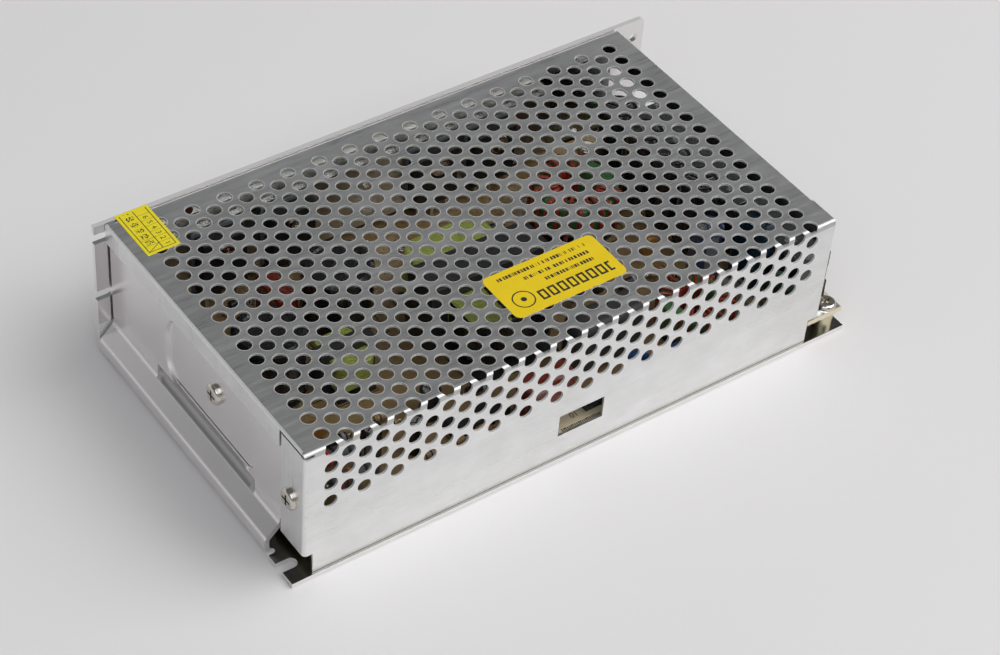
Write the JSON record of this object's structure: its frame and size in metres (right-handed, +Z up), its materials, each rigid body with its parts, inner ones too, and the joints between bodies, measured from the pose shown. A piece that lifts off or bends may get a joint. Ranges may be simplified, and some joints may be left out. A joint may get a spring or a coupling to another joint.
{
  "type": "mesh case switching power supply",
  "caption": "Open-frame switching power supply in a folded sheet metal case with a perforated cover, screw terminals under a hinged clear flap, and its board inside.",
  "frame": {"origin": "middle of the bottom plate's underside", "axes": "+X along the case towards the screw terminals, +Y towards the plain side wall, +Z up through the perforated top"},
  "size_m": [0.2, 0.1108, 0.0491],
  "materials": {
    "case_metal": "satin",
    "cover_metal": "satin",
    "screw_metal": "bright zinc plate",
    "bar_metal": "milled",
    "board": "phenolic board, semi-gloss",
    "film_sheet": "satin",
    "spacer_metal": "satin",
    "block_plastic": "satin",
    "tin": "tin plate",
    "clear_plastic": "clear",
    "trimmer_blue": "gloss",
    "rotor_white": "satin",
    "lamp_green": "gloss",
    "black_mould": "fine matt",
    "pad_grey": "matt",
    "can_black": "sleeve, gloss",
    "can_blue": "sleeve, gloss",
    "ferrite": "matt",
    "coil_tape": "tape, gloss",
    "bobbin": "satin",
    "ring_green": "powder coat",
    "copper_red": "enamelled wire",
    "film_red": "dipped, gloss",
    "film_teal": "dipped, gloss",
    "film_grey": "satin",
    "disc_blue": "dipped, gloss",
    "disc_green": "dipped, gloss",
    "disc_tan": "dipped, gloss",
    "glass_clear": "clear",
    "resistor_beige": "lacquer",
    "resistor_grey": "cement",
    "diode_black": "gloss",
    "wire_tin": "tinned wire",
    "label_yellow": "satin film"
  },
  "bodies": {
    "case": {"bar_screws": "screw_metal", "board_screws": "screw_metal", "board_spacers": "spacer_metal", "bridge_nut": "screw_metal", "bridge_rectifier": "black_mould", "bridge_screw": "screw_metal", "bulk_capacitor_left": "can_black", "bulk_capacitor_right": "can_black", "ceramic_capacitors": "disc_tan", "chassis": "case_metal", "choke_feet": "bobbin", "circuit_board": "board", "control_chip": "black_mould", "cover": "cover_metal", "cover_screws": "screw_metal", "device_screws": "screw_metal", "drive_transformer_coil": "coil_tape", "drive_transformer_core": "ferrite", "film_capacitor_end": "film_teal", "film_capacitor_left": "film_red", "film_capacitor_near": "film_red", "filter_capacitor": "can_blue", "flange_screw": "screw_metal", "fuse_caps": "tin", "fuse_clips": "tin", "fuse_glass": "glass_clear", "grid_label": "label_yellow", "heat_sink_bar": "bar_metal", "indicator_lamp": "lamp_green", "inrush_thermistor": "disc_green", "insulating_pads": "pad_grey", "insulating_sheet": "film_sheet", "jumper_wires": "wire_tin", "line_capacitor": "film_grey", "line_choke_coil": "copper_red", "line_choke_core": "ring_green", "main_transformer_coil": "coil_tape", "main_transformer_core": "ferrite", "output_capacitor_1": "can_black", "output_capacitor_2": "can_black", "output_capacitor_3": "can_black", "output_capacitor_4": "can_black", "output_choke_coil": "copper_red", "output_choke_core": "ring_green", "power_resistors": "resistor_grey", "power_transistors": "black_mould", "rectifier_diodes": "black_mould", "safety_capacitors": "disc_blue", "signal_resistors": "resistor_beige", "small_capacitors": "can_black", "small_diodes": "diode_black", "terminal_block": "block_plastic", "terminal_clamps": "tin", "terminal_contacts": "tin", "terminal_screws": "screw_metal", "top_label": "label_yellow", "transformer_bobbins": "bobbin", "trimmer_body": "trimmer_blue"},
    "flap": {"terminal_flap": "clear_plastic"},
    "rotor": {"trimmer_rotor": "rotor_white"}
  },
  "joints": [
    {"name": "terminal_flap_hinge", "type": "hinge", "parent": "case", "child": "flap", "pos_m": [0.086, -0.0032, 0.0252], "axis": [0, -1, 0], "range_deg": [0, 95]},
    {"name": "output_trimmer_turn", "type": "hinge", "parent": "case", "child": "rotor", "pos_m": [0.0942, 0.0486, 0.0135], "axis": [0, 0, 1], "range_deg": [-135, 135]}
  ]
}
